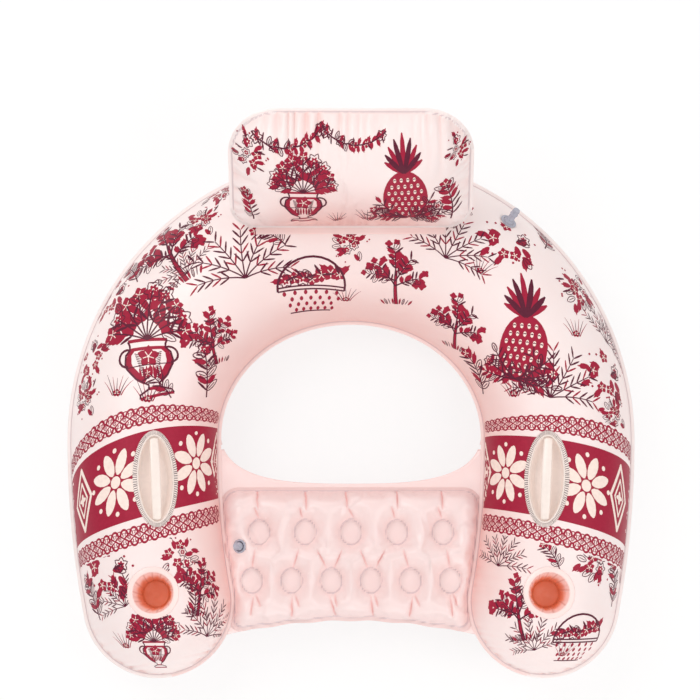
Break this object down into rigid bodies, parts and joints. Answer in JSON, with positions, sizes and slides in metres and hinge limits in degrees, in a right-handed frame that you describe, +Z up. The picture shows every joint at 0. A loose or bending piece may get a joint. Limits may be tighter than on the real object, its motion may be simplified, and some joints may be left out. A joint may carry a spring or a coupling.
{
  "type": "inflatable pool chair",
  "caption": "Horseshoe pool chair of welded PVC film with a tilting headrest, a tufted seat, grab handles, cup holders and push-in valves.",
  "frame": {"origin": "centre of the bounding box's foot, on the surface that the chair stands on", "axes": "+X to the right as seen from the open front, +Y to the headrest at the back, +Z up"},
  "size_m": [1.062, 1.0104, 0.428],
  "materials": {
    "printed_film": "satin pale pink PVC film with a maroon and rose print",
    "plain_film": "satin pale pink PVC film",
    "seat_film": "glossy pale pink PVC film",
    "cup_film": "translucent orange PVC film",
    "clear_moulding": "milky translucent moulded PVC",
    "valve_moulding": "clear bluish moulded PVC"
  },
  "bodies": {
    "float": {"ring_top_film": "printed_film", "ring_bottom_film": "plain_film", "seat_top_film": "seat_film", "seat_base_film": "seat_film", "headrest_hinge_strip": "plain_film", "left_cup_sleeve": "cup_film", "left_cup_base": "cup_film", "right_cup_sleeve": "cup_film", "right_cup_base": "cup_film", "left_handle_well": "clear_moulding", "left_handle_grip": "clear_moulding", "right_handle_well": "clear_moulding", "right_handle_grip": "clear_moulding", "ring_valve_flange": "valve_moulding", "ring_valve_boot": "valve_moulding", "seat_valve_flange": "valve_moulding", "seat_valve_boot": "valve_moulding"},
    "headrest": {"headrest_front_film": "printed_film", "headrest_back_film": "plain_film", "headrest_valve_flange": "valve_moulding", "headrest_valve_boot": "valve_moulding"},
    "ring_stem": {"ring_valve_stem": "valve_moulding"},
    "ring_cap": {"ring_valve_cap": "valve_moulding"},
    "ring_flap": {"ring_valve_flap": "valve_moulding"},
    "seat_stem": {"seat_valve_stem": "valve_moulding"},
    "seat_cap": {"seat_valve_cap": "valve_moulding"},
    "seat_flap": {"seat_valve_flap": "valve_moulding"},
    "headrest_stem": {"headrest_valve_stem": "valve_moulding"},
    "headrest_cap": {"headrest_valve_cap": "valve_moulding"},
    "headrest_flap": {"headrest_valve_flap": "valve_moulding"}
  },
  "joints": [
    {"name": "headrest_tilt", "type": "hinge", "parent": "float", "child": "headrest", "pos_m": [0, 0.31677, 0.25631], "axis": [1, 0, 0], "range_deg": [-8, 100], "stiffness_Nm_per_rad": 1, "springref_deg": 5.73},
    {"name": "ring_stem_push", "type": "slide", "parent": "float", "child": "ring_stem", "axis": [0.4729, 0.5856, 0.6584], "range_m": [-0.018, 0], "deforming": ["ring_valve_boot"]},
    {"name": "ring_cap_open", "type": "hinge", "parent": "ring_stem", "child": "ring_cap", "pos_m": [0.30729, 0.35617, 0.20276], "axis": [-0.7949, 0.6059, 0.032], "range_deg": [0, 120]},
    {"name": "ring_flap_open", "type": "hinge", "parent": "ring_stem", "child": "ring_flap", "pos_m": [0.29365, 0.33824, 0.20352], "axis": [-0.7949, 0.6059, 0.032], "range_deg": [0, 60], "stiffness_Nm_per_rad": 0.0001},
    {"name": "seat_stem_pull", "type": "slide", "parent": "float", "child": "seat_stem", "axis": [-0.454, 0, 0.891], "range_m": [0, 0.018], "deforming": ["seat_valve_boot"]},
    {"name": "seat_cap_open", "type": "hinge", "parent": "seat_stem", "child": "seat_cap", "pos_m": [-0.21762, -0.26323, 0.1373], "axis": [0, -1, 0], "range_deg": [0, 120]},
    {"name": "seat_flap_open", "type": "hinge", "parent": "seat_stem", "child": "seat_flap", "pos_m": [-0.19643, -0.26323, 0.12963], "axis": [0, -1, 0], "range_deg": [0, 60], "stiffness_Nm_per_rad": 0.0001},
    {"name": "headrest_stem_pull", "type": "slide", "parent": "headrest", "child": "headrest_stem", "axis": [0, 0.5851, -0.8109], "range_m": [0, 0.018], "deforming": ["headrest_valve_boot"]},
    {"name": "headrest_cap_open", "type": "hinge", "parent": "headrest_stem", "child": "headrest_cap", "pos_m": [0.1248, 0.43527, 0.28096], "axis": [0, -0.8109, -0.5851], "range_deg": [0, 120]},
    {"name": "headrest_flap_open", "type": "hinge", "parent": "headrest_stem", "child": "headrest_flap", "pos_m": [0.1094, 0.42564, 0.2943], "axis": [0, -0.8109, -0.5851], "range_deg": [0, 60], "stiffness_Nm_per_rad": 0.0001}
  ]
}
